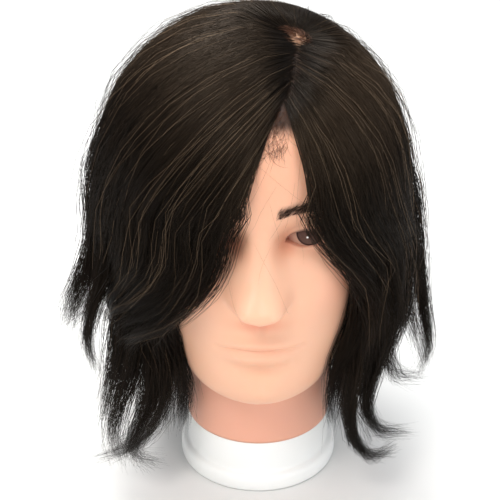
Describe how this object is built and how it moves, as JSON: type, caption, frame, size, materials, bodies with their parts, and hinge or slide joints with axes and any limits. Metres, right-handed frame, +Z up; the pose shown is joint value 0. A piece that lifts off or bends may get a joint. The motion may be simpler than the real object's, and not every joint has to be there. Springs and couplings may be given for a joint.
{
  "type": "mannequin training head",
  "caption": "Mannequin head for hair training: soft skin over a foam core, shoulder-length parted hair in sections, white base with a tapered clamp socket",
  "frame": {"origin": "centre of the base's underside, on the surface the head stands on", "axes": "+Z up through the crown, -Y the way the face looks, +X the mannequin's own left"},
  "size_m": [0.2527, 0.2548, 0.338],
  "materials": {
    "skin": "satin soft skin, peach",
    "foam": "rigid foam, cream",
    "insert_plastic": "moulded plastic, grey",
    "base_plastic": "satin moulded plastic, off-white",
    "socket_plastic": "moulded plastic, light grey",
    "screw_steel": "plain steel",
    "brow_hair": "short dark hair",
    "hair": "human hair, near black with a warm brown sheen"
  },
  "bodies": {
    "root": {"skin_shell": "skin", "foam_core": "foam", "neck_insert": "insert_plastic", "base_collar": "base_plastic", "clamp_socket": "socket_plastic", "base_screw_1": "screw_steel", "base_screw_2": "screw_steel", "base_screw_3": "screw_steel", "base_screw_4": "screw_steel", "brow_left": "brow_hair", "brow_right": "brow_hair", "hair_crown": "hair", "hair_fringe_right": "hair", "hair_fringe_left": "hair", "hair_temple_right": "hair", "hair_temple_left": "hair", "hair_side_right": "hair", "hair_side_left": "hair", "hair_back_right": "hair", "hair_back_left": "hair", "hair_nape_right": "hair", "hair_nape_left": "hair"}
  },
  "joints": []
}
